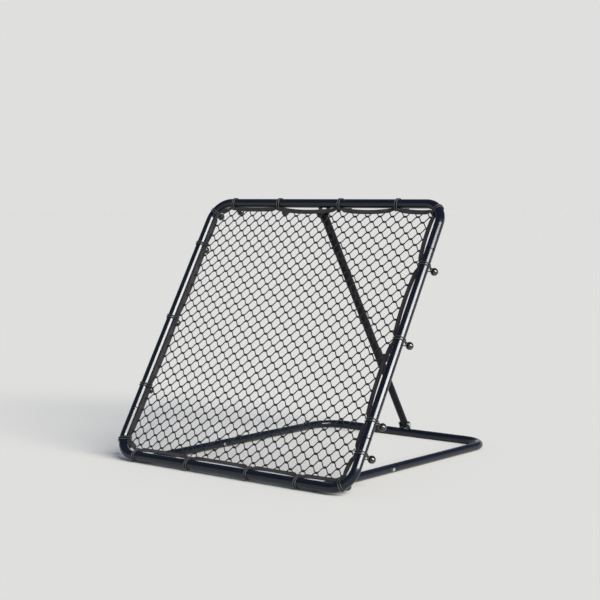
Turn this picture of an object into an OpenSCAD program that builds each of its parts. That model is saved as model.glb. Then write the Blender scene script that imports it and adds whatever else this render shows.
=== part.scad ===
// Pitch back rebounder: a sprung ball net in a square tube frame that leans back on a
// telescopic strut, with a flat tube base behind it. The net hangs in ball bungees.

/* [Front frame] */
// Outer width of the front frame
frame_w = 1000; // [960:10:1200]
// Outer height of the front frame, measured up its slope
frame_h = 1000; // [900:10:1200]
// Diameter of the front frame's tube
bar_d = 30; // [28:0.5:33]
// Wall of the front frame's tube
bar_wall = 1.5; // [1.2:0.1:2]
// Centre-line radius of the front frame's four bends
bend_r = 70; // [60:1:78]
// Length of each bent end's leg, from the cross bar's centre-line to the seam
leg_len = 165; // [140:5:220]
// Length of the swaged spigot inside each seam
spigot_len = 50; // [30:5:70]
// Lean of the front frame above the ground, in degrees
lean = 59; // [56:0.5:62]
// Height of the bottom bar's centre-line above the ground
bar_z = 22; // [21:0.5:26]

/* [Base] */
// Distance of the base arms' centre-lines inside the front frame's
arm_in = 125; // [123:1:185]
// Distance of the rear bar's centre-line behind the bottom bar's
rear_y = 983; // [930:1:1040]
// Diameter of the base's tube
base_d = 28; // [26:0.5:28.5]
// Wall of the base's tube
base_wall = 1.5; // [1.2:0.1:2]
// Centre-line radius of the base's rear bends
base_bend_r = 97; // [80:1:120]
// Distance of the base's seams behind the bottom bar's centre-line
base_seam_y = 405; // [350:5:500]
// Distance of the hinge pins behind the bottom bar's centre-line
hinge_reach = 40; // [39:0.5:44]
// Distance from a hinge pin to the front face of the arm's end cap
arm_nose = 17; // [15:0.5:18]
// Thickness of the end cap's flange
cap_flange = 3; // [2:0.5:4]
// Depth of the end cap's plug inside the arm
cap_plug = 7; // [5:0.5:8]

/* [Strut] */
// Diameter of the strut's upper, outer tube
upper_d = 28; // [27.8:0.1:29]
// Wall of both strut tubes
strut_wall = 1.2; // [1:0.1:1.4]
// Radial clearance between the two strut tubes
slide_clear = 0.1; // [0.05:0.01:0.2]
// Length of the upper strut tube
upper_len = 665; // [620:5:690]
// Length of the lower strut tube
lower_len = 455; // [430:5:500]
// Distance of the strut's top pin straight below the top bar's centre-line
top_drop = 38; // [37.5:0.5:42]
// Height of the strut's foot pin above the rear bar's centre-line
foot_rise = 30; // [29:0.5:36]
// Length of the upper tube past its top pin
top_nose = 10; // [9:0.5:11]
// Length of the lower tube past its foot pin
foot_nose = 9; // [8:0.5:10]
// Radial play of the top pin in the strut's eye
eye_play = 2; // [1.9:0.05:2.5]
// Distance of the lock screw from the upper tube's lower end
lock_up = 28; // [20:1:40]

/* [Brackets and bolts] */
// Thickness of the welded lugs
lug_t = 4; // [3:0.5:5]
// Radius of the lugs' round ends
lug_r = 11; // [10:0.5:12]
// Width of a lug where it meets its tube
lug_root = 20; // [14:1:22]
// Side gap between a lug and the tube that turns in it
lug_gap = 0.5; // [0.3:0.1:1]
// Seating gap of a welded lug or nut on its round tube
weld_gap = 0.05; // [0.02:0.01:0.1]
// Diameter of the pivot bolts
pin_d = 8; // [7:0.5:9]
// Diameter of the bolts through the base's seams
seam_bolt_d = 6; // [5:0.5:7]
// Radial running clearance of a bolt in the tube that turns on it
pin_clear = 0.08; // [0.03:0.01:0.1]
// Radial clearance of parts that are only pushed together
fit_clear = 0.1; // [0.05:0.01:0.2]

/* [Net] */
// Width of one pair of net columns
cell_w = 99; // [80:1:120]
// Height of one net cell
cell_h = 80; // [70:1:100]
// Length of the thick joints between the net's strands
joint_len = 24; // [18:1:30]
// Width of the thick joints
joint_w = 7; // [5:0.5:9]
// Width of the net's strands
strand_w = 3.5; // [2.5:0.1:5]
// Thickness of the net
net_t = 2.4; // [2:0.1:3]
// Width of the net's selvage along the border tape
selvage_w = 3; // [2:0.5:5]
// Width of the border tape
tape_w = 16; // [12:1:18]
// Thickness of the border tape
tape_t = 2.4; // [2:0.1:3]
// Distance of the tape's centre-line from the tube's at each loop
tape_in = 25; // [24.5:0.5:30]
// Sag of the tape between two loops, as a share of their distance
tape_sag = 0.035; // [0:0.005:0.06]

/* [Ball bungees] */
// Diameter of the elastic cord
cord_d = 4; // [3:0.1:4.2]
// Distance between the two strands of a loop
strand_gap = 6; // [5:0.1:7]
// Diameter of the balls
ball_d = 25; // [21:0.5:26]
// Gap between a cord and what it goes round
cord_clear = 0.3; // [0.2:0.05:0.5]
// Distance of a ball behind the net's plane
ball_back = 43; // [41:0.5:46]
// Distance of a ball outside the tube's centre-line
ball_out = 10; // [6:0.5:14]
// Distance behind the net's plane of a ball that is tucked inside the frame
tucked_ball_back = 38; // [37:0.5:40]
// Distance inside the tube's centre-line of a ball that is tucked inside the frame
tucked_ball_in = 14.5; // [14:0.5:17]
// Distance of the bottom bar's outer left loop from the base arm's centre-line
arm_loop_gap = 38; // [37.5:0.5:42]

/* [Hidden] */

$fn = 48;
eps = 0.01;

steel_black = [0.03, 0.035, 0.05];
zinc = [0.78, 0.79, 0.8];
cord_black = [0.05, 0.05, 0.06];
tape_brown = [0.13, 0.12, 0.11];
plastic_black = [0.02, 0.02, 0.02];

// centre-line sizes of the front frame
span_w = frame_w - bar_d;
span_h = frame_h - bar_d;
bar_r = bar_d / 2;
base_r = base_d / 2;
upper_r = upper_d / 2;
lower_d = upper_d - 2 * strut_wall - 2 * slide_clear;
lower_r = lower_d / 2;
arm_x = span_w / 2 - arm_in;
pin_r = pin_d / 2;
pin_hole_r = pin_r + pin_clear;
cord_r = cord_d / 2;
ball_r = ball_d / 2;

// ---- the route of a bungee's cord, in its tube's cross-section: x out of the frame, y out of
// the net's front, and z along the tube ----

// a cord's centre-line radius round the tube, and round the tape's edge
wrap_r = bar_r + cord_clear + cord_r;
edge_wrap_r = tape_t / 2 * sqrt(2) + cord_clear + cord_r;

// the ball's centre, the direction its strands leave it, and a direction square to that
function ball_at(tucked) = tucked > 0 ? [-tucked_ball_in, -tucked_ball_back] : [ball_out, -ball_back];
bundle_at = [-8, 0];
function cord_way(tucked) = (bundle_at - ball_at(tucked)) / norm(bundle_at - ball_at(tucked));
function cord_side(tucked) = [cord_way(tucked)[1], -cord_way(tucked)[0]];

// the two strands at the ball, and the turn of cord round them
neck_half = cord_r + cord_clear / 2;
turn_out = cord_d + 3 * cord_clear;
turn_half = neck_half + turn_out;
function neck_at(tucked) = ball_at(tucked) + cord_way(tucked) * (ball_r + turn_out);
function turn_at(tucked) = ball_at(tucked) + cord_way(tucked) * (ball_r + turn_out / 2);

// the tape's edge that the cord goes round, and the angles at which it leaves both circles
edge_at = [-(tape_in + tape_w / 2 - tape_t / 2), 0];
function angle_of(v) = atan2(v[1], v[0]);
front_turn = 180 - acos((wrap_r - edge_wrap_r) / norm(edge_at));
function tube_turn(tucked) = angle_of(neck_at(tucked)) + acos(wrap_r / norm(neck_at(tucked)));
function edge_turn(tucked) = 360 + angle_of(turn_at(tucked) - edge_at)
    - acos(edge_wrap_r / norm(turn_at(tucked) - edge_at));

// an arc as straight pieces that touch its circle from outside
tube_steps = 6;
edge_steps = 4;
function arc_points(centre, r, start, stop, steps) = let(step = (stop - start) / steps)
    [for (i = [0:steps - 1]) let(a = start + (i + 0.5) * step)
        centre + r / cos(step / 2) * [cos(a), sin(a)]];
function at_depth(points, t) = [for (p = points) [p[0], p[1], t]];

// from inside the ball round the tube and the tape, to the turn round its own neck and back
function half_route(tucked) = concat(
    at_depth([ball_at(tucked) + cord_way(tucked) * ball_r * 0.3, neck_at(tucked)], neck_half),
    at_depth(arc_points([0, 0], wrap_r, tube_turn(tucked), front_turn, tube_steps), strand_gap / 2),
    at_depth(arc_points(edge_at, edge_wrap_r, front_turn, edge_turn(tucked), edge_steps), strand_gap / 2),
    at_depth([turn_at(tucked)], turn_half),
    at_depth([turn_at(tucked) + cord_side(tucked) * turn_out * 0.75], turn_half * 0.75));
function cord_route(tucked) = let(half = half_route(tucked), n = len(half)) concat(
    half,
    at_depth([turn_at(tucked) + cord_side(tucked) * turn_out], 0),
    [for (i = [n - 1:-1:0]) [half[i][0], half[i][1], -half[i][2]]]);

// a round cord along a route: each ring stands square to it, and its first point is carried
// along without twist
cord_sides = 6;
function unit(v) = v / norm(v);
function way_at(route, i) = unit((i > 0 ? unit(route[i] - route[i - 1]) : [0, 0, 0])
    + (i < len(route) - 1 ? unit(route[i + 1] - route[i]) : [0, 0, 0]));
function carried(route, i, side) = i == len(route) ? [] :
    let(way = way_at(route, i), now = unit(side - (side * way) * way))
    concat([now], carried(route, i + 1, now));
function ring_points(route) = let(sides = carried(route, 0, [0, 0, 1]))
    [for (i = [0:len(route) - 1], k = [0:cord_sides - 1]) let(a = 360 * k / cord_sides)
        route[i] + cord_r * (cos(a) * sides[i] + sin(a) * cross(way_at(route, i), sides[i]))];

// pins, as [y, z] behind the bottom bar and above the ground
top_bar_at = [span_h * cos(lean), bar_z + span_h * sin(lean)];
hinge_at = [hinge_reach, base_r];
top_pin_at = [top_bar_at[0], top_bar_at[1] - top_drop];
foot_pin_at = [rear_y, base_r + foot_rise];
strut_tilt = atan2(foot_pin_at[0] - top_pin_at[0], top_pin_at[1] - foot_pin_at[1]);
pin_distance = norm(top_pin_at - foot_pin_at);
upper_low_end = pin_distance + top_nose - upper_len;
lock_at = upper_low_end + lock_up;

// the part's origin lies on the ground, halfway between its front and its back
front_y = min([for (p = ring_points(cord_route(1))) -p[0] * cos(lean) - p[1] * sin(lean)]);
back_y = max(rear_y + base_r, rear_y + foot_nose * sin(strut_tilt) + lower_r * cos(strut_tilt));
mid_y = (front_y + back_y) / 2;

// standard hexagon sizes for a bolt of diameter d
function hex_d(d) = d * 1.625 * 2 / sqrt(3);
function head_h(d) = d * 0.66;
function nut_h(d) = d * 1.0;

module in_base() {
    translate([0, -mid_y, 0]) children();
}

// x across, y up the slope from the bottom bar, z out of the net's front
module in_frame() {
    translate([0, -mid_y, bar_z]) rotate([lean, 0, 0]) children();
}

// z up the strut from its foot pin, y out of its back
module in_strut() {
    translate([0, foot_pin_at[0] - mid_y, foot_pin_at[1]]) rotate([strut_tilt, 0, 0]) children();
}

module pipe(len, d, wall) {
    linear_extrude(len) difference() {
        circle(d = d);
        circle(d = d - 2 * wall);
    }
}

// a reduced end that enters the next tube: z = 0 is the seam, the spigot rises from it
module spigot(d, wall, len) {
    step = 4;
    inner_wall = wall;
    spigot_d = d - 2 * wall - 2 * fit_clear;
    translate([0, 0, -step]) pipe(step, d, wall + fit_clear + inner_wall);
    translate([0, 0, -eps]) pipe(len + eps, spigot_d, inner_wall);
}

// a tube bent to a U that opens towards -y, with its cross bar on the x axis
module u_tube(half_w, leg, r, d, wall) {
    straight = half_w - r;
    translate([-straight, 0, 0]) rotate([0, 90, 0]) pipe(2 * straight, d, wall);
    for (side = [0, 1]) mirror([side, 0, 0]) {
        translate([straight, -r, 0]) rotate_extrude(angle = 90) translate([r, 0]) difference() {
            circle(d = d);
            circle(d = d - 2 * wall);
        }
        translate([half_w, -leg, 0]) rotate([-90, 0, 0]) pipe(leg - r, d, wall);
    }
}

// a flat lug in the y-z plane, from a tube at the origin to a pin at [y, z] = reach.
// root_shift moves its root to the left of the line to the pin
module lug(reach, tube_r, hole_r, root_w, root_shift) {
    len = norm(reach);
    root_x = tube_r * 0.5;
    rotate([90, 0, 90]) rotate(atan2(reach[1], reach[0])) {
        linear_extrude(lug_t) difference() {
            union() {
                translate([len, 0]) circle(lug_r);
                polygon([[root_x, root_shift - root_w / 2], [len, -lug_r], [len, lug_r],
                    [root_x, root_shift + root_w / 2]]);
            }
            circle(tube_r + weld_gap);
            translate([len, 0]) circle(hole_r);
        }
    }
}

// two lugs, one each side of a tube of radius inner_r
module lug_pair(reach, tube_r, inner_r, root_w, root_shift) {
    for (side = [0, 1]) mirror([side, 0, 0]) {
        translate([inner_r + lug_gap, 0, 0]) lug(reach, tube_r, pin_r + fit_clear, root_w, root_shift);
    }
}

// a hexagon bolt along +x, with its head's seat at x = grip / 2
module hex_bolt(d, grip) {
    tail = nut_h(d) + 2;
    rotate([0, 90, 0]) {
        translate([0, 0, grip / 2]) cylinder(h = head_h(d), d = hex_d(d), $fn = 6);
        translate([0, 0, -grip / 2 - tail]) cylinder(h = grip + tail + eps, d = d);
    }
}

// its locking nut, seated at x = -grip / 2
module lock_collar_nut(d, grip) {
    collar = 0.25 * nut_h(d);
    rotate([0, -90, 0]) translate([0, 0, grip / 2]) difference() {
        union() {
            cylinder(h = nut_h(d) - collar, d = hex_d(d), $fn = 6);
            cylinder(h = nut_h(d), d = hex_d(d) * 0.8);
        }
        translate([0, 0, -1]) cylinder(h = nut_h(d) + 2, d = d + 2 * fit_clear);
    }
}

// ---- loops: [x, y, outward angle, tucked], each at the centre-line of the tube it goes round ----

// shares of the distance from the middle to a base arm, and of the frame's height and width
bottom_places = [-0.442, 0.259, 0.808];
right_places = [0.122, 0.23, 0.509, 0.774];
top_places = [0.814, 0.574];
top_tucked_places = [0.304, 0.092];
left_places = [0.825, 0.525, 0.258];
low_left_bend = 198;
low_right_bend = 303;
top_right_bend = 45;
top_left_bend = 152;

function bend_loop(side_x, side_y, angle, tucked) = [
    side_x * (span_w / 2 - bend_r) + bend_r * cos(angle),
    (side_y > 0 ? span_h - bend_r : bend_r) + bend_r * sin(angle), angle, tucked];

loops_at_bottom = concat(
    [[-arm_x - arm_loop_gap, 0, -90, 1]],
    [for (s = bottom_places) [s * arm_x, 0, -90, 1]],
    [bend_loop(1, -1, low_right_bend, 1)]);
loops_at_right = [for (s = right_places) [span_w / 2, s * span_h, 0, 0]];
loops_at_top = concat([bend_loop(1, 1, top_right_bend, 1)],
    [for (s = top_places) [(s - 0.5) * span_w, span_h, 90, 0]],
    [for (s = top_tucked_places) [(s - 0.5) * span_w, span_h, 90, 1]],
    [bend_loop(-1, 1, top_left_bend, 0)]);
loops_at_left = concat([for (s = left_places) [-span_w / 2, s * span_h, 180, 0]],
    [bend_loop(-1, -1, low_left_bend, 0)]);
all_loops = concat(loops_at_bottom, loops_at_right, loops_at_top, loops_at_left);

// x out of the frame, y out of the net's front, z along the tube
module at_loop(place) {
    translate([place[0], place[1], 0]) rotate(place[2]) rotate([90, 0, 0]) children();
}

module cord(route) {
    n = len(route);
    m = cord_sides;
    last = (n - 1) * m;
    polyhedron(ring_points(route), concat(
        [for (i = [0:n - 2], k = [0:m - 1], half = [0, 1])
            let(a = i * m + k, b = i * m + (k + 1) % m)
            half == 0 ? [a, a + m, b] : [b, a + m, b + m]],
        [for (k = [1:m - 2]) [0, k, k + 1]],
        [for (k = [1:m - 2]) [last, last + k + 1, last + k]]));
}

module bungee_loop(tucked) {
    cord(cord_route(tucked));
}

// a ball with a blind hole for the two strands, whose knot sits inside it
module bungee_ball(tucked) {
    hole_r = neck_half + cord_r + cord_clear;
    place = ball_at(tucked);
    translate([place[0], place[1], 0]) rotate(angle_of(cord_way(tucked))) rotate([0, 90, 0]) difference() {
        sphere(ball_r);
        cylinder(h = ball_r + 1, r = hole_r);
    }
}

module loop_row(places) {
    color(cord_black) in_frame() {
        for (p = places) at_loop(p) bungee_loop(p[3]);
    }
}

module ball_row(places) {
    color(plastic_black) in_frame() {
        for (p = places) at_loop(p) bungee_ball(p[3]);
    }
}

// ---- the tape's route: tape_in inside the tube at each loop, and sagging inwards between ----

function inward(a) = [-cos(a), -sin(a)];
// the tape lies flat across each loop, over this half length
flat_half = strand_gap / 2 + cord_d + tape_w / 4;
function tape_stop(p, k) = [p[0], p[1]] + tape_in * inward(p[2]) + k * flat_half * [-sin(p[2]), cos(p[2])];
function sag_between(a, b) = (a + b) / 2 + tape_sag * [a[1] - b[1], b[0] - a[0]];
tape_route = [for (i = [0:len(all_loops) - 1], k = [-1, 1, 2])
    let(next = all_loops[(i + 1) % len(all_loops)])
    k < 2 ? tape_stop(all_loops[i], k) : sag_between(tape_stop(all_loops[i], 1), tape_stop(next, -1))];

// a closed route moved inwards by d: mitred corners, and the sharp ones bevelled on the outside
sharp = 0.8;
function left_of(a, b) = [a[1] - b[1], b[0] - a[0]] / norm(b - a);
function corner(a, p, b, d) = let(one = left_of(a, p), two = left_of(p, b))
    d < 0 && one * two < sharp ? [p + d * one, p + d * two] : [p + d * (one + two) / (1 + one * two)];
function moved_in(route, d) = let(n = len(route))
    [for (i = [0:n - 1]) each corner(route[(i + n - 1) % n], route[i], route[(i + 1) % n], d)];

module border_tape() {
    color(tape_brown) in_frame() translate([0, 0, -tape_t / 2]) linear_extrude(tape_t) difference() {
        polygon(moved_in(tape_route, -tape_w / 2));
        polygon(moved_in(tape_route, tape_w / 2));
    }
}

// ---- the net: staggered rows of thick joints, with two strands from each end of a joint ----

// the open cell between four joints, inside its strands
function cell_points() = let(
        x_side = (cell_w - joint_len) / 2,
        x_top = joint_len / 2,
        y_top = cell_h / 2,
        slope = (x_side - x_top) / y_top,
        edge = x_side - strand_w / 2 * sqrt(1 + slope * slope),
        y_cut = y_top - joint_w / 2,
        x_cut = edge - slope * y_cut)
    [[edge, 0], [x_cut, y_cut], [-x_cut, y_cut], [-edge, 0], [-x_cut, -y_cut], [x_cut, -y_cut]];

net_cols = ceil(span_w / cell_w / 2) + 1;
net_rows = ceil(span_h / cell_h) + 1;

module net_cells() {
    for (row = [0:2 * net_rows], col = [-net_cols:net_cols]) {
        shift = row % 2 == 0 ? 0 : cell_w / 2;
        translate([col * cell_w + shift, row * cell_h / 2]) polygon(cell_points());
    }
}

module net() {
    notch_w = strand_gap + cord_d + 2 * cord_clear;
    notch_in = edge_wrap_r - tape_t / 2 + cord_r + cord_clear;
    color(cord_black) in_frame() translate([0, 0, -net_t / 2]) linear_extrude(net_t) difference() {
        polygon(moved_in(tape_route, tape_w / 2));
        intersection() {
            polygon(moved_in(tape_route, tape_w / 2 + selvage_w));
            net_cells();
        }
        for (p = all_loops) {
            translate([p[0], p[1]]) rotate(p[2]) {
                translate([-tape_in - tape_w / 2 - notch_in, -notch_w / 2]) square([notch_in + 2, notch_w]);
            }
        }
    }
}

// ---- front frame ----

module top_bar() {
    color(steel_black) in_frame() translate([0, span_h, 0]) {
        u_tube(span_w / 2, leg_len, bend_r, bar_d, bar_wall);
    }
}

module bottom_bar() {
    color(steel_black) in_frame() mirror([0, 1, 0]) {
        u_tube(span_w / 2, leg_len, bend_r, bar_d, bar_wall);
    }
}

module side_tube(side) {
    side_len = span_h - 2 * leg_len;
    color(steel_black) in_frame() translate([side * span_w / 2, leg_len, 0]) rotate([-90, 0, 0]) {
        pipe(side_len, bar_d, bar_wall);
        translate([0, 0, side_len]) spigot(bar_d, bar_wall, spigot_len);
        mirror([0, 0, 1]) spigot(bar_d, bar_wall, spigot_len);
    }
}

module left_side_tube() {
    side_tube(-1);
}

module right_side_tube() {
    side_tube(1);
}

module hinge_lugs() {
    color(steel_black) in_base() for (side = [-1, 1]) {
        translate([side * arm_x, 0, bar_z]) {
            lug_pair(hinge_at - [0, bar_z], bar_r, base_r, lug_root, 0);
        }
    }
}

hinge_grip = 2 * (base_r + lug_gap + lug_t);

module at_hinges() {
    in_base() for (side = [0, 1]) mirror([side, 0, 0]) {
        translate([arm_x, hinge_at[0], hinge_at[1]]) children();
    }
}

module hinge_bolts() {
    color(zinc) at_hinges() hex_bolt(pin_d, hinge_grip);
}

module hinge_nuts() {
    color(zinc) at_hinges() lock_collar_nut(pin_d, hinge_grip);
}

top_root = 14;
top_root_back = 3;
top_grip = 2 * (upper_r + lug_gap + lug_t);

module top_lugs() {
    color(steel_black) in_base() translate([0, top_bar_at[0], top_bar_at[1]]) {
        lug_pair([0, -top_drop], bar_r, upper_r, top_root, top_root_back);
    }
}

module at_top_pin() {
    in_base() translate([0, top_pin_at[0], top_pin_at[1]]) children();
}

module top_bolt() {
    color(zinc) at_top_pin() hex_bolt(pin_d, top_grip);
}

module top_nut() {
    color(zinc) at_top_pin() lock_collar_nut(pin_d, top_grip);
}

module top_loops() {
    loop_row(loops_at_top);
}

module bottom_loops() {
    loop_row(loops_at_bottom);
}

module left_loops() {
    loop_row(loops_at_left);
}

module right_loops() {
    loop_row(loops_at_right);
}

module top_balls() {
    ball_row(loops_at_top);
}

module bottom_balls() {
    ball_row(loops_at_bottom);
}

module left_balls() {
    ball_row(loops_at_left);
}

module right_balls() {
    ball_row(loops_at_right);
}

// ---- base ----

seam_bolt_y = base_seam_y - spigot_len / 2;
arm_front_y = hinge_at[0] - arm_nose + cap_flange;

module seam_bolt_hole(side) {
    translate([side * arm_x, seam_bolt_y, base_r]) rotate([0, 90, 0]) {
        cylinder(h = 2 * base_d, d = seam_bolt_d + 2 * fit_clear, center = true);
    }
}

module base_arm(side) {
    color(steel_black) in_base() difference() {
        translate([side * arm_x, arm_front_y, base_r]) rotate([-90, 0, 0]) {
            pipe(base_seam_y - arm_front_y, base_d, base_wall);
        }
        seam_bolt_hole(side);
        translate([side * arm_x, hinge_at[0], hinge_at[1]]) rotate([0, 90, 0]) {
            cylinder(h = 2 * base_d, r = pin_hole_r, center = true);
        }
    }
}

module left_base_arm() {
    base_arm(-1);
}

module right_base_arm() {
    base_arm(1);
}

module base_rear_bar() {
    color(steel_black) in_base() difference() {
        translate([0, rear_y, base_r]) {
            u_tube(arm_x, rear_y - base_seam_y, base_bend_r, base_d, base_wall);
            for (side = [-1, 1]) translate([side * arm_x, base_seam_y - rear_y, 0]) {
                rotate([90, 0, 0]) spigot(base_d, base_wall, spigot_len);
            }
        }
        for (side = [-1, 1]) seam_bolt_hole(side);
    }
}

module arm_end_caps() {
    color(plastic_black) in_base() for (side = [-1, 1]) {
        translate([side * arm_x, arm_front_y, base_r]) rotate([90, 0, 0]) {
            cylinder(h = cap_flange / 2, d = base_d);
            translate([0, 0, cap_flange / 2]) {
                cylinder(h = cap_flange / 2, d1 = base_d, d2 = base_d - cap_flange);
            }
            translate([0, 0, -cap_plug]) {
                cylinder(h = cap_plug + eps, d = base_d - 2 * base_wall - 2 * fit_clear);
            }
        }
    }
}

seam_grip = base_d + 2 * weld_gap;

module base_bolts() {
    color(zinc) in_base() for (side = [-1, 1]) {
        translate([side * arm_x, seam_bolt_y, base_r]) hex_bolt(seam_bolt_d, seam_grip);
    }
}

module base_nuts() {
    color(zinc) in_base() for (side = [-1, 1]) {
        translate([side * arm_x, seam_bolt_y, base_r]) lock_collar_nut(seam_bolt_d, seam_grip);
    }
}

foot_grip = 2 * (lower_r + lug_gap + lug_t);

module foot_lugs() {
    color(steel_black) in_base() translate([0, rear_y, base_r]) {
        lug_pair([0, foot_rise], base_r, lower_r, lug_root, 0);
    }
}

module at_foot_pin() {
    in_base() translate([0, foot_pin_at[0], foot_pin_at[1]]) children();
}

module foot_bolt() {
    color(zinc) at_foot_pin() hex_bolt(pin_d, foot_grip);
}

module foot_nut() {
    color(zinc) at_foot_pin() lock_collar_nut(pin_d, foot_grip);
}

// ---- strut ----

module strut_lower() {
    color(steel_black) in_strut() difference() {
        translate([0, 0, -foot_nose]) pipe(lower_len, lower_d, strut_wall);
        rotate([0, 90, 0]) cylinder(h = 2 * lower_d, r = pin_hole_r, center = true);
    }
}

module strut_upper() {
    color(steel_black) in_strut() difference() {
        translate([0, 0, upper_low_end]) pipe(upper_len, upper_d, strut_wall);
        translate([0, 0, pin_distance]) rotate([0, 90, 0]) {
            cylinder(h = 2 * upper_d, r = pin_r + eye_play, center = true);
        }
        translate([0, 0, lock_at]) rotate([-90, 0, 0]) cylinder(h = upper_d, r = pin_hole_r);
    }
}

// y out of the lock screw's axis, from the strut's centre-line
module at_lock() {
    in_strut() translate([0, 0, lock_at]) rotate([-90, 0, 0]) children();
}

lock_nut_top = upper_r + nut_h(pin_d);
knob_seat = lock_nut_top + 2;
knob_h = 13;

module lock_nut() {
    color(steel_black) difference() {
        at_lock() translate([0, 0, upper_r * 0.8]) difference() {
            cylinder(h = lock_nut_top - upper_r * 0.8, d = hex_d(pin_d) * 1.15, $fn = 6);
            translate([0, 0, -1]) cylinder(h = upper_d, r = pin_hole_r);
        }
        in_strut() translate([0, 0, lock_at - upper_d]) cylinder(h = 2 * upper_d, r = upper_r + weld_gap);
    }
}

module lock_screw() {
    tip = lower_r + cord_clear;
    color(zinc) at_lock() translate([0, 0, tip]) cylinder(h = knob_seat + knob_h * 0.7 - tip, r = pin_r);
}

module lock_knob() {
    lobe_r = 4.5;
    hub_r = 11;
    color(plastic_black) at_lock() translate([0, 0, knob_seat]) difference() {
        linear_extrude(knob_h) {
            circle(hub_r);
            for (i = [0:4]) rotate(72 * i) translate([hub_r, 0]) circle(lobe_r);
        }
        translate([0, 0, -1]) cylinder(h = knob_h * 0.7 + 1 + fit_clear, r = pin_r + fit_clear / 2);
    }
}

top_bar();
bottom_bar();
left_side_tube();
right_side_tube();
hinge_lugs();
hinge_bolts();
hinge_nuts();
top_lugs();
top_bolt();
top_nut();
net();
border_tape();
top_loops();
bottom_loops();
left_loops();
right_loops();
top_balls();
bottom_balls();
left_balls();
right_balls();
left_base_arm();
right_base_arm();
base_rear_bar();
arm_end_caps();
base_bolts();
base_nuts();
foot_lugs();
foot_bolt();
foot_nut();
strut_lower();
strut_upper();
lock_nut();
lock_screw();
lock_knob();
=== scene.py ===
"""Pitch back rebounder: the finished look of every piece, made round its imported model."""

import math

import bpy
import mathutils
import numpy as np
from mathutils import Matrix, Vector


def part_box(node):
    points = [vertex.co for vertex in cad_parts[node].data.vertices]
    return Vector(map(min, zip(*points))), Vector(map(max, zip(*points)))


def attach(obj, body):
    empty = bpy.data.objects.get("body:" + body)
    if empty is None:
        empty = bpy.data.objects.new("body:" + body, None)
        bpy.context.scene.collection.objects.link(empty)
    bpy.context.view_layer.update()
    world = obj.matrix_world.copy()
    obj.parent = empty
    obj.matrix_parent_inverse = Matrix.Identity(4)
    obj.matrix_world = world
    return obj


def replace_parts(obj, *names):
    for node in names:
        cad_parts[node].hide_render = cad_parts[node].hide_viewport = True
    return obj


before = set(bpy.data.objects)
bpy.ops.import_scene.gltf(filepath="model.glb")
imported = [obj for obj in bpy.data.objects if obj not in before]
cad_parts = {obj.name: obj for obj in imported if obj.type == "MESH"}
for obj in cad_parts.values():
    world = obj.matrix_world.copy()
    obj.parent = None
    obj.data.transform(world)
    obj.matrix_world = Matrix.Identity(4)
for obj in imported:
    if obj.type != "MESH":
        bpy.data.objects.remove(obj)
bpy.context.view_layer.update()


# ---- Camera ----
# A view from in front and to the right, level with the top bar, through a long lens.

LENS = 83.8
CAMERA_AT = (2.9026, -3.6955, 0.8780)
CAMERA_TURN = (math.radians(85.75), 0.0, math.radians(39.055))

camera_data = bpy.data.cameras.new("camera")
camera_data.sensor_width = 36.0
camera_data.lens = LENS
camera = bpy.data.objects.new("camera", camera_data)
camera.location = CAMERA_AT
camera.rotation_euler = CAMERA_TURN
bpy.context.scene.collection.objects.link(camera)
bpy.context.scene.camera = camera


# ---- Frame and base tubes ----
# Welded steel tube, blasted and powder coated near black. The blue cast of the coat's colour is painted
# reflection of a blue sky. The coat flows out to a faint orange peel, and is a little paler and duller in
# cloudy patches.

# Near black, with a blue cast that is painted reflection of a blue sky.
COAT_BLACK_SKY_TINTED = (0.0025, 0.0042, 0.0090)
COAT_GLOSS = 0.44
# A blue tint on the coat's reflections: painted reflection of a blue sky.
COAT_SKY_REFLECTION_TINT = (0.90, 0.93, 1.0)
COAT_PEEL = 700.0
# Colour and gloss of the strut: a shaded copy of the frame's coat, as painted shade.
STRUT_SHADED_BLACK = (0.0028, 0.0038, 0.0060)
STRUT_SHADED_GLOSS = 0.18
COATED = ["top_bar", "bottom_bar", "left_side_tube", "right_side_tube", "left_base_arm",
          "right_base_arm", "base_rear_bar", "hinge_lugs", "top_lugs", "foot_lugs"]


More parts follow.
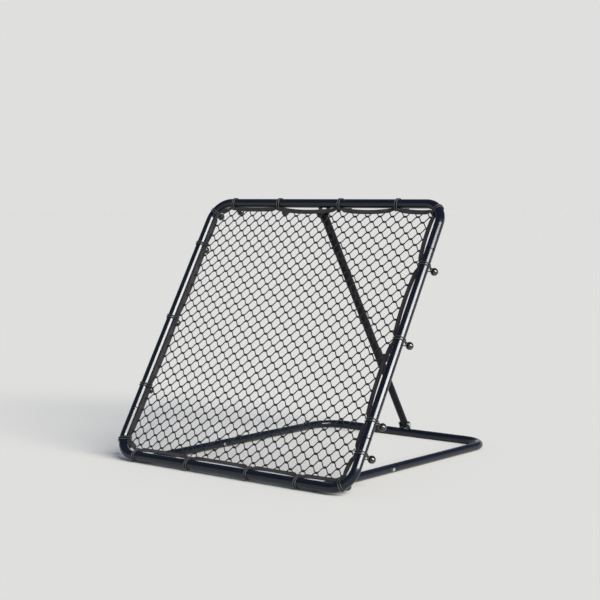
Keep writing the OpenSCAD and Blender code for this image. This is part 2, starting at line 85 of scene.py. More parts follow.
class NodeMaterial:
    """A material of one shader, whose colour, roughness and relief are varied by nodes."""

    def __init__(self, name, colour, roughness, gloss=0.5):
        self.material = bpy.data.materials.new(name)
        self.material.use_nodes = True
        self.tree = self.material.node_tree
        self.shader = self.tree.nodes["Principled BSDF"]
        self.colour = colour
        self.set("Base Color", (*colour, 1.0))
        self.set("Roughness", roughness)
        self.set("Specular IOR Level", gloss)

    def set(self, socket, value):
        """A constant on one of the shader's own sockets."""
        self.shader.inputs[socket].default_value = value

    def drive(self, socket, source):
        """One of the shader's sockets, driven by a node's output."""
        self.tree.links.new(source, self.shader.inputs[socket])

    def node(self, kind, links=(), **values):
        """A new node. Its properties and its sockets take the values, and its sockets the links."""
        node = self.tree.nodes.new(kind)
        for key, value in values.items():
            if hasattr(node, key):
                setattr(node, key, value)
            else:
                node.inputs[key.replace("_", " ")].default_value = value
        for socket, source in links:
            self.tree.links.new(source, node.inputs[socket])
        return node

    def place(self):
        """The place on the object, in metres."""
        return self.node("ShaderNodeTexCoord").outputs["Object"]

    def run(self):
        """The map `run`: the distance along a piece in metres, and the share of the way round."""
        return self.node("ShaderNodeUVMap", uv_map="run").outputs["UV"]

    def noise(self, place, scale, detail):
        """Cloudy noise, as many clouds to the metre as its scale."""
        return self.node("ShaderNodeTexNoise", [("Vector", place)], Scale=scale,
                         Detail=detail).outputs["Fac"]

    def product(self, first, second):
        """Two values multiplied."""
        return self.node("ShaderNodeMath", [(0, first), (1, second)], operation="MULTIPLY").outputs[0]

    def spread(self, source, low, high, out_low, out_high):
        """A value moved from the range low..high to out_low..out_high, and held inside it."""
        return self.node("ShaderNodeMapRange", [("Value", source)], From_Min=low, From_Max=high,
                         To_Min=out_low, To_Max=out_high).outputs["Result"]

    def tinted(self, source, low, high, other):
        """The colour turns to another as the source rises from low to high."""
        mix = self.node("ShaderNodeMix", [(0, self.spread(source, low, high, 0.0, 1.0))],
                        data_type="RGBA")
        mix.inputs[6].default_value = (*self.colour, 1.0)
        mix.inputs[7].default_value = (*other, 1.0)
        self.drive("Base Color", mix.outputs[2])

    def roughened(self, source, low, high, least, most):
        """The roughness goes from least to most as the source rises from low to high."""
        self.drive("Roughness", self.spread(source, low, high, least, most))

    def raised(self, height, strength, distance):
        """A bump of that height on the surface."""
        bump = self.node("ShaderNodeBump", [("Height", height)], Strength=strength, Distance=distance)
        self.drive("Normal", bump.outputs["Normal"])


def brighter(colour, factor, more=0.0):
    """A colour whose parts are all that many times as bright, and then some more."""
    return [factor * part + more for part in colour]


def powder_coat(name, colour, roughness, gloss):
    """Powder coat: a fine orange peel, and cloudy patches that are a little paler and duller."""
    coat = NodeMaterial(name, colour, roughness, gloss)
    # The reflections are tinted blue, as painted reflection of a blue sky.
    coat.set("Specular Tint", (*COAT_SKY_REFLECTION_TINT, 1.0))
    place = coat.place()
    clouds = coat.noise(place, scale=14.0, detail=5.0)
    specks = coat.noise(place, scale=260.0, detail=3.0)
    coat.tinted(clouds, 0.45, 0.75, brighter(colour, 1.5, 0.001))
    coat.roughened(coat.product(clouds, specks), 0.18, 0.4, roughness, roughness + 0.05)
    coat.raised(coat.noise(place, scale=COAT_PEEL, detail=2.0), strength=0.015, distance=0.0003)
    return coat.material


def repaint(node, material):
    """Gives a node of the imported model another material."""
    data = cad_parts[node].data
    data.materials.clear()
    data.materials.append(material)


# The frame's coat: its colour's blue cast is painted reflection of a blue sky.
gloss_coat = powder_coat("gloss_black_coat", COAT_BLACK_SKY_TINTED, roughness=0.16, gloss=COAT_GLOSS)
for node in COATED:
    repaint(node, gloss_coat)

# The strut's inner tube slides in the outer one. Both take a duller, less glossy, less blue copy of the
# frame's coat: painted shade, which keeps the strut darker than the frame.
shaded_satin_coat = powder_coat("shaded_satin_black_coat", STRUT_SHADED_BLACK, roughness=0.33, gloss=STRUT_SHADED_GLOSS)
for node in ("strut_upper", "strut_lower", "lock_nut"):
    repaint(node, shaded_satin_coat)


# ---- Seams of the front frame and of the base ----
# Each tube end is swaged and pushed into the next tube. The joint is drawn as a dark matt band round
# the tube: painted shade of the gap between the tubes.

BAR_R = 0.015
BASE_R = 0.014
LEAN = math.radians(59.0)
SPAN = 0.97  # between the centre lines of opposite sides of the front frame
LEG = 0.165  # from the centre line of a bar to its seams
# The seam bands' colour: painted shade of the gaps in the joints.
SEAM_SHADE_BLACK = (0.0020, 0.0021, 0.0024)
SEAM_SUNK = 0.0004
SEAM_RISE = 0.00065
SEAM_HALF = 0.0019
bar_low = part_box("bottom_bar")[0]
bar_y = bar_low.y + BAR_R
bar_z = bar_low.z + BAR_R


def on_frame(points):
    """Points from the leaning frame's own axes to the object's: x across, then up the slope
    from the bottom bar's centre line, then square out of the net's front."""
    x, up, out = np.moveaxis(np.asarray(points, float), -1, 0)
    return np.stack([x, bar_y + up * math.cos(LEAN) - out * math.sin(LEAN),
                     bar_z + up * math.sin(LEAN) + out * math.cos(LEAN)], -1)


def full_turn(count):
    """Equally spaced angles round a circle, without the last one, which is the first again."""
    return np.arange(count) * 2 * math.pi / count


def unit(vectors):
    """Vectors of length one along the given ones."""
    return vectors / np.linalg.norm(vectors, axis=-1, keepdims=True)


def rings(radius, height, angles):
    """Points round the third axis, a row for each height: x = radius cos(angle), y = radius
    sin(angle). The radius belongs to a row, or to a row and an angle."""
    x = radius * np.cos(angles)
    y = radius * np.sin(angles)
    return np.stack([x, y, np.broadcast_to(np.asarray(height)[:, None], x.shape)], -1)


def turned(profile, count):
    """Surface of revolution about the third axis: each profile point (radius, height) is carried
    round the axis in that many steps. Rows run along the profile."""
    radius, height = np.asarray(profile, float).T
    return rings(radius[:, None], height, full_turn(count))


def placed(points, at, third, first):
    """Points moved so that their origin lies at `at`, their third axis along `third`, and their
    first axis along `first` freed of its share along the third."""
    third = unit(np.asarray(third, float))
    first = np.asarray(first, float)
    first = unit(first - np.dot(first, third) * third)
    return np.asarray(at, float) + points @ np.stack([first, np.cross(third, first), third])


def travelled(path):
    """How far along a path each of its points lies."""
    return np.concatenate([[0.0], np.cumsum(np.linalg.norm(np.diff(path, axis=0), axis=-1))])


def closed_grid(grid, ring):
    """A grid of points as a closed surface: its points, its quads and end fans, and their map
    `run`. The columns close on themselves. The rows close too if ring is true, and otherwise
    each end is closed by a fan to its middle. Faces are turned outwards by the sign of the
    volume that they enclose."""
    rows, cols = grid.shape[:2]
    row, col = np.meshgrid(np.arange(rows if ring else rows - 1), np.arange(cols), indexing="ij")
    near, far, after = row * cols, (row + 1) % rows * cols, (col + 1) % cols
    quad = np.stack([near + col, near + after, far + after, far + col], -1).reshape(-1, 4)
    middles = grid.mean(1)
    along = travelled(np.concatenate([middles, middles[:1]]))
    run = np.stack([np.stack([along[row + ahead], (col + aside) / cols], -1)
                    for ahead, aside in ((0, 0), (0, 1), (1, 1), (1, 0))], -2).reshape(-1, 4, 2)
    flat = grid.reshape(-1, 3)
    if ring:
        fan = np.zeros((0, 3), int)
        fan_run = np.zeros((0, 3, 2))
    else:
        flat = np.concatenate([flat, middles[:1], middles[-1:]])
        col = np.arange(cols)
        after = (col + 1) % cols
        top = (rows - 1) * cols
        fan = np.concatenate([np.stack([after, col, np.full(cols, rows * cols)], -1),
                              np.stack([top + col, top + after, np.full(cols, rows * cols + 1)], -1)])
        fan_run = np.zeros((2 * cols, 3, 2))
        fan_run[cols:, :, 0] = along[rows - 1]
    a, b, c, d = (flat[quad[:, corner]] - flat.mean(0) for corner in range(4))
    if np.einsum("ij,ij->", a, np.cross(b, c) + np.cross(c, d)) < 0:
        return flat, quad[:, ::-1], fan[:, ::-1], run[:, ::-1], fan_run[:, ::-1]
    return flat, quad, fan, run, fan_run


def skin(name, grids, material, body, ring=False, smooth=True):
    """One mesh of closed grids of points, with the map `run`, which rides on a body."""
    surfaces = [closed_grid(grid, ring) for grid in grids]
    firsts = np.cumsum([0] + [len(surface[0]) for surface in surfaces])
    points = np.concatenate([surface[0] for surface in surfaces])
    quads = np.concatenate([surface[1] + first for surface, first in zip(surfaces, firsts)])
    fans = np.concatenate([surface[2] + first for surface, first in zip(surfaces, firsts)])
    runs = [surface[3].ravel() for surface in surfaces] + [surface[4].ravel() for surface in surfaces]
    corners = np.concatenate([quads.ravel(), fans.ravel()])
    starts = np.concatenate([4 * np.arange(len(quads)), quads.size + 3 * np.arange(len(fans))])
    mesh = bpy.data.meshes.new(name)
    mesh.vertices.add(len(points))
    mesh.vertices.foreach_set("co", points.astype(np.float32).ravel())
    mesh.loops.add(len(corners))
    mesh.loops.foreach_set("vertex_index", corners.astype(np.int32))
    mesh.polygons.add(len(starts))
    mesh.polygons.foreach_set("loop_start", starts.astype(np.int32))
    mesh.polygons.foreach_set("use_smooth", np.full(len(starts), smooth))
    mesh.update(calc_edges=True)
    run_map = mesh.uv_layers.new(name="run")
    run_map.data.foreach_set("uv", np.concatenate(runs).astype(np.float32))
    mesh.validate()
    mesh.materials.append(material)
    piece = bpy.data.objects.new(name, mesh)
    bpy.context.scene.collection.objects.link(piece)
    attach(piece, body)
    return piece


def seam_edge(radius, at, way):
    """A low edge round a tube of that radius: half a turn of an ellipse, of which a quarter of a
    millimetre stands off the tube over a length of three."""
    angle = np.linspace(0, math.pi, 9)
    profile = np.stack([radius - SEAM_SUNK + SEAM_RISE * np.sin(angle), -SEAM_HALF * np.cos(angle)], -1)
    return placed(turned(profile, 48), at, way, (1, 0, 0))


# A dark matt band at each joint, as painted shade of its gap.
seam_shade_band = powder_coat("matt_seam_painted_shade", SEAM_SHADE_BLACK, roughness=0.75, gloss=0.05)
slope = on_frame([0, 1, 0]) - on_frame([0, 0, 0])
seam_places = on_frame([[side * SPAN / 2, up, 0] for side in (-1, 1) for up in (LEG, SPAN - LEG)])
skin("frame_seam_edges", [seam_edge(BAR_R, at, slope) for at in seam_places], seam_shade_band,
     "front_frame")

# The base's edges are pressed flat where they lie on the ground.
arm_low, arm_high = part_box("right_base_arm")
arm_x = (arm_low.x + arm_high.x) / 2
ground = (-math.inf, -math.inf, 0)
base_edges = [seam_edge(BASE_R, (side * arm_x, arm_high.y, BASE_R), (0, 1, 0)) for side in (-1, 1)]
skin("base_seam_edges", [np.maximum(edge, ground) for edge in base_edges], seam_shade_band, "base")


# ---- Weld beads of the lugs ----
# Each lug is welded to its tube from the outside. The bead lies along the lug's root as a row of
# small overlapping pools, under the same coat.

BEAD_R = 0.0021
BEAD_RAISED = 0.2 * BEAD_R
HALF_POOL = 0.0011
POOL_SWELL = 0.08
HINGE_ROOT = 0.010  # half of the length of a lug's root
TOP_ROOT = 0.007
FOOT_ROOT = 0.010
HINGE_BEHIND = 0.040
TO_TOP_PIN = (0.003, -0.038)


def tube(path, radius, first, second, sides):
    """A round tube: at each point of the path lies a ring of that radius, in the plane of two
    directions that are square to each other and to the path."""
    angle = full_turn(sides)[:, None]
    ring = np.cos(angle) * first[..., None, :] + np.sin(angle) * second[..., None, :]
    return path[..., None, :] + np.asarray(radius)[..., None, None] * ring


def bead(tube_at, tube_r, lug_face, towards, half_root):
    """A bead along the arc where a lug's face meets a tube that lies along x. The middle of the
    arc is on the side of the tube that `towards` points to. The bead's radius swells and sinks
    eight per cent as the weld pools overlap, and dies away at both ends."""
    share = np.linspace(-1, 1, 61)
    sweep = share * math.asin(min(half_root / tube_r, 0.95))
    start = math.atan2(towards[1], towards[0])
    radius = tube_r + BEAD_RAISED
    out = np.stack([np.zeros_like(sweep), np.cos(start + sweep), np.sin(start + sweep)], -1)
    pools = 1 + POOL_SWELL * np.cos(sweep * radius / HALF_POOL * math.pi)
    pools *= np.sqrt(np.clip(1 - share ** 8, 0.02, 1))
    return tube(np.asarray([lug_face, *tube_at]) + radius * out, BEAD_R * pools, out,
                np.array([1.0, 0, 0]), sides=12)


def lug_faces(node):
    """The outer faces of a node's lugs, as x, from its corners."""
    xs = np.unique(np.round([v.co.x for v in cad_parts[node].data.vertices], 4))
    return [xs[0], xs[-1]]


lug_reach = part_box("hinge_lugs")[1].x - arm_x
hinge_faces = [side * arm_x + out for side in (-1, 1) for out in (lug_reach, -lug_reach)]
skin("hinge_welds", [bead((bar_y, bar_z), BAR_R, x, (HINGE_BEHIND, BASE_R - bar_z), HINGE_ROOT)
                     for x in hinge_faces], gloss_coat, "front_frame")
top_y, top_z = on_frame([0, SPAN, 0])[1:]
skin("top_lug_welds", [bead((top_y, top_z), BAR_R, x, TO_TOP_PIN, TOP_ROOT)
                       for x in lug_faces("top_lugs")], gloss_coat, "front_frame")
rear_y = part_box("base_rear_bar")[1].y
skin("foot_lug_welds", [bead((rear_y - BASE_R, BASE_R), BASE_R, x, (0, 1), FOOT_ROOT)
                        for x in lug_faces("foot_lugs")], gloss_coat, "base")


# ---- Bolts and nuts ----
# Zinc plated steel. Heads are forged hexagons with their corners turned off to a cone, and the
# nuts end in a rolled collar, where the real ones hold the nylon ring that stops them working loose.

ZINC = (0.66, 0.67, 0.68)
BLACKENED = (0.05, 0.05, 0.055)
PIN_D = 0.008
SEAM_D = 0.006
HINGE_GRIP = 0.037
TOP_GRIP = 0.037
FOOT_GRIP = 0.0344
SEAM_GRIP = 0.0281
HEX_ACROSS = 1.625  # diameters
HEX_CHAMFER = 0.0007
HEAD_TALL = 0.66  # diameters
NUT_TALL = 0.75  # diameters
THREAD_PITCH = 0.00125
THREAD_SHOWN = 0.0036
BOLT_SPARE = 0.002


def zinc_plate(name, colour, roughness):
    """Zinc plate: a slight yellow cast in patches, and a fine crystalline grain."""
    zinc = NodeMaterial(name, colour, roughness)
    zinc.set("Metallic", 1.0)
    place = zinc.place()
    red, green, blue = colour
    zinc.tinted(zinc.noise(place, scale=120.0, detail=4.0), 0.4, 0.65, (red, 0.94 * green, 0.80 * blue))
    fine = zinc.noise(place, scale=1500.0, detail=3.0)
    zinc.roughened(fine, 0.3, 0.7, roughness - 0.08, roughness + 0.12)
    zinc.raised(fine, strength=0.15, distance=0.0002)
    return zinc.material


def hexagon(across, heights):
    """A hexagonal prism with coned corners: round the axis the radius is the flat's distance
    over the cosine of the angle from the flat's middle, but no more than the cone allows, whose
    radius starts a chamfer below the corner's at both ends and grows by two for each unit of
    height."""
    angle = full_turn(72)
    heights = np.asarray(heights, float)
    flat = across / 2 / np.cos((angle + math.pi / 6) % (math.pi / 3) - math.pi / 6)
    depth = np.minimum(heights - heights[0], heights[-1] - heights)
    cone = across / math.sqrt(3) - HEX_CHAMFER + 2 * depth
    radius = np.minimum(flat[None], cone[:, None])
    face = np.full((1, len(angle)), 0.35 * across)
    return rings(np.concatenate([face, radius, face]),
                 np.concatenate([heights[:1], heights, heights[-1:]]), angle)


def bolt_parts(d, grip):
    """Head, shank and thread end of a bolt on the third axis, with its middle at the origin. The
    thread is a row of rings whose radius swings by a sixteenth of the diameter."""
    seat = grip / 2
    tail = -grip / 2 - d - BOLT_SPARE
    head = seat + HEAD_TALL * d * np.array([0.0, 0.06, 0.12, 0.5, 0.82, 0.91, 1.0])
    turns = np.linspace(tail, tail + THREAD_SHOWN, 25)
    thread = 0.5 * d - d / 32 * (1 + np.cos((turns - tail) / THREAD_PITCH * 2 * math.pi))
    thread[0] = 0.40 * d
    rod = [[0.001, tail - 0.0001], *np.stack([thread, turns], -1),
           [0.5 * d, tail + THREAD_SHOWN + 0.0002], [0.5 * d, seat + 0.0005]]
    return [hexagon(HEX_ACROSS * d, head), turned(rod, 32)]


def nut_parts(d, grip):
    """A nut seated at minus half the grip: its hexagon and the rolled collar beyond it."""
    low = -grip / 2
    tall = NUT_TALL * d
    steps = low - tall * np.array([1.0, 0.92, 0.84, 0.5, 0.16, 0.08, 0.0])
    collar = 0.8 / math.sqrt(3) * HEX_ACROSS * d
    end = low - 0.98 * d
    rim = [[0.52 * d, low - 0.9 * tall], [collar, low - 0.9 * tall], [collar, end + 0.0008],
           [collar - 0.0004, end + 0.0003], [collar - 0.0010, end], [0.56 * d, end],
           [0.52 * d, end + 0.0003]]
    return [hexagon(HEX_ACROSS * d, steps), turned(rim, 48)]


def pin_at(node):
    """Depth and height of a bolt's axis, from the middle of its node's box."""
    low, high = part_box(node)
    return (low.y + high.y) / 2, (low.z + high.z) / 2


zinc = zinc_plate("zinc_plate", ZINC, roughness=0.27)

# The middle of each pin, and 1 where its head is towards +x.
hinge_pins = [((side * arm_x, *pin_at("hinge_bolts")), side) for side in (-1, 1)]
top_pins = [((0, *pin_at("top_bolt")), 1)]
foot_pins = [((0, *pin_at("foot_bolt")), 1)]
seam_pins = [((side * arm_x, *pin_at("base_bolts")), 1) for side in (-1, 1)]
for piece, node, parts, pins, body in (
        ("hinge_screws", "hinge_bolts", bolt_parts(PIN_D, HINGE_GRIP), hinge_pins, "front_frame"),
        ("hinge_lock_nuts", "hinge_nuts", nut_parts(PIN_D, HINGE_GRIP), hinge_pins, "front_frame"),
        ("top_screw", "top_bolt", bolt_parts(PIN_D, TOP_GRIP), top_pins, "front_frame"),
        ("top_lock_nut", "top_nut", nut_parts(PIN_D, TOP_GRIP), top_pins, "front_frame"),
        ("foot_screw", "foot_bolt", bolt_parts(PIN_D, FOOT_GRIP), foot_pins, "base"),
        ("foot_lock_nut", "foot_nut", nut_parts(PIN_D, FOOT_GRIP), foot_pins, "base"),
        ("seam_screws", "base_bolts", bolt_parts(SEAM_D, SEAM_GRIP), seam_pins, "base"),
        ("seam_lock_nuts", "base_nuts", nut_parts(SEAM_D, SEAM_GRIP), seam_pins, "base")):
    grids = [placed(part, at, (side, 0, 0), (0, 0, 1)) for at, side in pins for part in parts]
    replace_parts(skin(piece, grids, zinc, body, smooth=False), node)

# The strut's lock screw is blackened steel, because it is handled.
repaint("lock_screw", zinc_plate("blackened_steel", BLACKENED, roughness=0.36))


# ---- End caps and the strut's knob ----
# Injection moulded black plastic, fine grained from the mould. The knob is a five lobed star on a
# steel stud, dished on top, with a round plug in its middle.

MOULDED = (0.014, 0.014, 0.015)
STRUT_R = 0.014
LOCK_NUT_TALL = 0.008
KNOB_GAP = 0.002
KNOB_H = 0.013
KNOB_HUB = 0.0115
KNOB_LOBE = 0.0040


def moulded_plastic(name, colour, roughness, gloss, grain, depth):
    """Plastic with a spark-eroded grain of rounded cells, as many to the metre as the grain says,
    and with slight changes of gloss and colour."""
    plastic = NodeMaterial(name, colour, roughness, gloss)
    place = plastic.place()
    cells = plastic.node("ShaderNodeTexVoronoi", [("Vector", place)], Scale=grain)
    cloud = plastic.noise(place, scale=70.0, detail=4.0)
    plastic.roughened(cloud, 0.35, 0.65, roughness - 0.05, roughness + 0.08)
    plastic.tinted(cloud, 0.4, 0.7, brighter(colour, 1.6))
    plastic.raised(cells.outputs["Distance"], strength=depth, distance=0.0002)
    return plastic.material


def star_knob():
    """Knob round the third axis: radius = hub + lobe (1 + cos 5a) / 2 raised to 1.4, drawn in by
    a quarter circle at both rims; the top sinks to its middle as a shallow dish with a plug."""
    angle = full_turn(100)
    star = KNOB_HUB + KNOB_LOBE * ((1 + np.cos(5 * angle)) / 2) ** 1.4
    rim = np.linspace(0, math.pi / 2, 6)
    share = np.concatenate([[0.45, 0.80], 1 - 0.10 * (1 - np.sin(rim)), 1 - 0.14 * (1 - np.cos(rim)),
                            [0.76, 0.62, 0.46, 0.44, 0.40, 0.2]])
    height = np.concatenate([[0.0, 0.0], 0.12 * (1 - np.cos(rim)), 1 - 0.16 * (1 - np.sin(rim)),
                             [0.975, 0.94, 0.92, 0.99, 1.0, 1.0]])
    lobed = np.clip((share - 0.5) / 0.3, 0, 1)[:, None]
    return rings(share[:, None] * (lobed * star + (1 - lobed) * KNOB_HUB), KNOB_H * height, angle)


grained = moulded_plastic("grained_plastic", MOULDED, roughness=0.46, gloss=0.5, grain=1800.0, depth=0.2)
repaint("arm_end_caps", grained)

foot_pin, top_pin, lock_middle = (np.array([0.0, *pin_at(node)])
                                  for node in ("foot_bolt", "top_bolt", "lock_screw"))
up_strut = unit(top_pin - foot_pin)
out_of_strut = np.array([0.0, up_strut[2], -up_strut[1]])
lock_out = np.dot(lock_middle - foot_pin, out_of_strut)
knob_seat = lock_middle + out_of_strut * (STRUT_R + LOCK_NUT_TALL + KNOB_GAP - lock_out)
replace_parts(skin("star_knob", [placed(star_knob(), knob_seat, out_of_strut, (1, 0, 0))], grained,
                 "strut_lock"), "lock_knob")


# ---- Border tape ----
# Polypropylene webbing folded over the net's edge and sewn through with two rows of lockstitch.
# The loops draw it up to the tube, where it is gathered, and between them it hangs in a curve.

TAPE_W = 0.016
TAPE_T = 0.0024
TAPE_DARK = (0.0152, 0.0142, 0.0180)
TAPE_STEP = 0.004
TAPE_IN = 0.0233  # from the tube's centre line to the tape's, at a loop
LEFT_IN = 0.025
GATHER = (0.44, 1.1)  # how much narrower and thicker the tape is at a loop
LEFT_GATHER = (0.05, 0.25)
GATHER_REACH = 0.018
TILT = math.radians(32.0)
TILT_X = -0.42  # the tape is tilted left of this place
TILT_UP = 0.06  # and below this one, up the slope
TILT_EASE = 0.01
TILT_REACH = 0.03
FLAT_HALF = 0.0105
BEND_R = 0.070
ARM_LOOP_GAP = 0.038


def bend_loop(side, high, degrees, tucked):
    """A loop on one of the frame's bends: where its tube's centre line lies, and the angle of
    the way out of the frame there."""
    angle = math.radians(degrees)
    return [side * (SPAN / 2 - BEND_R) + BEND_R * math.cos(angle),
            (SPAN - BEND_R if high else BEND_R) + BEND_R * math.sin(angle), angle, tucked]


# Each loop: x, up the slope, angle of the way out, and 1 where its ball is tucked inside the frame.
# They stand in order round the frame from the bottom left.
low_loops = [[-arm_x - ARM_LOOP_GAP, 0.0, -math.pi / 2, 1],
             *[[share * arm_x, 0.0, -math.pi / 2, 1] for share in (-0.442, 0.259, 0.808)],
             bend_loop(1, False, 303, 1)]
right_loops = [[SPAN / 2, share * SPAN, 0.0, 0] for share in (0.122, 0.23, 0.509, 0.774)]
top_loops = [bend_loop(1, True, 45, 1),
             *[[(share - 0.5) * SPAN, SPAN, math.pi / 2, share < 0.5]
               for share in (0.814, 0.574, 0.304, 0.092)],
             bend_loop(-1, True, 152, 0)]
left_loops = [*[[-SPAN / 2, share * SPAN, math.pi, 0] for share in (0.825, 0.525, 0.258)],
              bend_loop(-1, False, 198, 0)]
loops = np.array(low_loops + right_loops + top_loops + left_loops)
loops_out = np.stack([np.cos(loops[:, 2]), np.sin(loops[:, 2])], -1)

# How far inside the tube's centre line the tape's lies at each loop, and how far the tape sags in
# the span after it, as a share of the span. A row each for the bottom, right, top and left.
inset = np.array([TAPE_IN] * (len(loops) - len(left_loops)) + [LEFT_IN] * len(left_loops))
sags = np.array([0.010, 0.006, 0.006, 0.006, 0.030,
                 0.034, 0.034, 0.034, 0.034,
                 0.030, 0.040, 0.040, 0.012, 0.020, 0.018,
                 0.018, 0.018, 0.018, 0.018])
held_at = loops[:, :2] - inset[:, None] * loops_out


def resampled(path, distances):
    """The points of a path that lie at those distances along it."""
    return np.stack([np.interp(distances, travelled(path), axis) for axis in path.T], -1)


def tape_line():
    """The tape's middle line in the frame's plane, as a closed row of points TAPE_STEP apart:
    straight for FLAT_HALF each side of a loop, and between two loops a parabola that sags
    inwards by a share of their distance; corners are rounded by a running mean of five."""
    along = np.stack([-loops_out[:, 1], loops_out[:, 0]], -1)
    start = held_at + FLAT_HALF * along
    end = np.roll(held_at - FLAT_HALF * along, -1, axis=0)
    before = np.roll(end, 1, axis=0)
    chord = end - start
    inwards = np.stack([-chord[:, 1], chord[:, 0]], -1)
    t = np.linspace(0, 1, 60, endpoint=False)[None, :, None]
    sagged = start[:, None] + t * chord[:, None] + 4 * t * (1 - t) * (sags[:, None] * inwards)[:, None]
    t = np.linspace(0, 1, 8, endpoint=False)[None, :, None]
    flat = before[:, None] + t * (start - before)[:, None]
    line = np.concatenate([flat, sagged], 1).reshape(-1, 2)
    line = np.concatenate([line, line[:1]])
    line = resampled(line, np.arange(0, travelled(line)[-1] - TAPE_STEP / 2, TAPE_STEP))
    weights = np.array([1.0, 2.0, 3.0, 2.0, 1.0]) / 9
    return sum(weight * np.roll(line, k, axis=0) for weight, k in zip(weights, (-2, -1, 0, 1, 2)))


def woven(name, colour, roughness, rib):
    """Webbing or thread: ribs across it from the map `run`, with a finer yarn between them, and
    a little paler where it is rubbed."""
    cloth = NodeMaterial(name, colour, roughness, gloss=0.3)
    cloth.set("Sheen Weight", 0.08)
    cloth.set("Sheen Roughness", 0.5)
    place = cloth.place()
    ribs = cloth.node("ShaderNodeTexWave", [("Vector", cloth.run())], Scale=rib, Distortion=0.4,
                      Detail=1.0)
    yarn = cloth.noise(place, scale=900.0, detail=2.0)
    cloth.tinted(cloth.noise(place, scale=35.0, detail=5.0), 0.42, 0.7, brighter(colour, 1.9))
    cloth.raised(cloth.product(ribs.outputs["Fac"], yarn), strength=0.5, distance=0.0004)
    return cloth.material


tape_middle = tape_line()
tape_way = unit(np.roll(tape_middle, -1, axis=0) - np.roll(tape_middle, 1, axis=0))
tape_inwards = np.stack([-tape_way[:, 1], tape_way[:, 0]], -1)
from_loops = np.linalg.norm(tape_middle[:, None] - held_at[None], axis=-1)
nearest = from_loops.min(-1)
gathered = np.exp(-(nearest / GATHER_REACH) ** 4)
at_left = inset[from_loops.argmin(-1)] == LEFT_IN
narrower, thicker = np.where(at_left[:, None], LEFT_GATHER, GATHER).T

# On the left and along the bottom the tape turns by TILT, its inner edge to the back.
beyond = np.maximum(TILT_X - tape_middle[:, 0], TILT_UP - tape_middle[:, 1])
tilt = TILT * np.clip(beyond / TILT_EASE, 0, 1) * (1 - np.exp(-(nearest / TILT_REACH) ** 2))


def across_tape(share, lift):
    """Rings across the tape: `share` runs from -1 at the outer edge to 1 at the inner, `lift`
    from -1 at the back to 1 at the front. The faces ripple by a few tenths of a millimetre
    along the run. At a loop the inner edge is drawn out to the other, and the tape thickens."""
    run = np.arange(len(tape_middle)) * TAPE_STEP
    ripple = 0.0004 * np.sin(run * 95.0) + 0.0005 * np.sin(run * 31.0 + 1.0)
    half = TAPE_W / 2 * (1 - narrower * gathered)
    thick = TAPE_T / 2 * (1 + thicker * gathered)
    side = (1 + share[None]) * half[:, None] - TAPE_W / 2
    out = lift[None] * thick[:, None] + (ripple * (1 - gathered))[:, None] * (1 - share[None] ** 2)
    cos, sin = np.cos(tilt)[:, None], np.sin(tilt)[:, None]
    flat = tape_middle[:, None] + tape_inwards[:, None] * (cos * side + sin * out)[..., None]
    return on_frame(np.concatenate([flat, (cos * out - sin * side)[..., None]], -1))


def bulged(wave, power):
    """A cosine or sine raised to a power, with its sign: both together make a rounded oblong."""
    return np.abs(wave) ** power * np.sign(wave)


turn = full_turn(28)
webbing = woven("tape_webbing", TAPE_DARK, roughness=0.78, rib=330.0)
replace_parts(skin("border_webbing", [across_tape(bulged(np.cos(turn), 0.22), bulged(np.sin(turn), 0.55))],
                 webbing, "front_frame", ring=True), "border_tape")


# ---- Stitches of the tape ----
# Black polyester thread. Two rows of lockstitch run along the tape on each of its faces, one near
# each edge, and each stitch thins at its ends, where the thread goes down into the webbing.

THREAD_BLACK = (0.030, 0.029, 0.034)
STITCH_R = 0.00032
STITCH_ROW = 0.70  # half widths of the tape
STITCH_LIFT = 1.14  # half thicknesses of the tape


def stitches():
    """A stitch covers the middle four fifths of a step of the tape's line: three rings of four
    points, whose middle ring is fuller than the end ones."""
    rows = across_tape(STITCH_ROW * np.array([1, -1, 1, -1]), STITCH_LIFT * np.array([1, 1, -1, -1]))
    step = np.roll(rows, -1, axis=0) - rows
    side = unit(np.cross(step, on_frame([0, 0, 1]) - on_frame([0, 0, 0])))
    up = unit(np.cross(side, step))
    middle = rows[:, :, None] + np.array([0.1, 0.5, 0.9])[:, None] * step[:, :, None]
    radius = STITCH_R * np.array([0.4, 1.0, 0.4])
    return list(tube(middle, radius, side[:, :, None], up[:, :, None], sides=4).reshape(-1, 3, 4, 3))


thread = woven("sewing_thread", THREAD_BLACK, roughness=0.6, rib=900.0)
skin("tape_stitches", stitches(), thread, "front_frame")


# ---- Net ----
# Knotless netting of black polyester. Each cord runs across the net in a zigzag, and lies side by
# side with its neighbour in the thick joints, where their yarns pass through each other.

COLUMN = 0.0495  # between the joints of a row
ROW = 0.020  # between rows of joints
JOINT = 0.0125
CORD_R = 0.0018
JOINT_SWELL = 0.18
NET_BLACK = (0.0050, 0.0050, 0.0058)
NET_SAG = 0.006
NET_SIZE = 0.94
IN_JOINT = 0.0053  # from a joint's middle to the last point of its cords inside it
PAST_JOINT = 0.0073  # and to the first point past it


def inside_tape(points):
    """Whether each point lies inside the tape's middle line: the number of its sides that a ray
    along x crosses is odd."""
    ax, ay = tape_middle.T
    bx, by = np.roll(tape_middle, -1, axis=0).T
    x, y = points[..., 0, None], points[..., 1, None]
    crosses = (ay > y) != (by > y)
    at = ax + (y - ay) / np.where(by == ay, 1e-9, by - ay) * (bx - ax)
    return (crosses & (x < at)).sum(-1) % 2 == 1


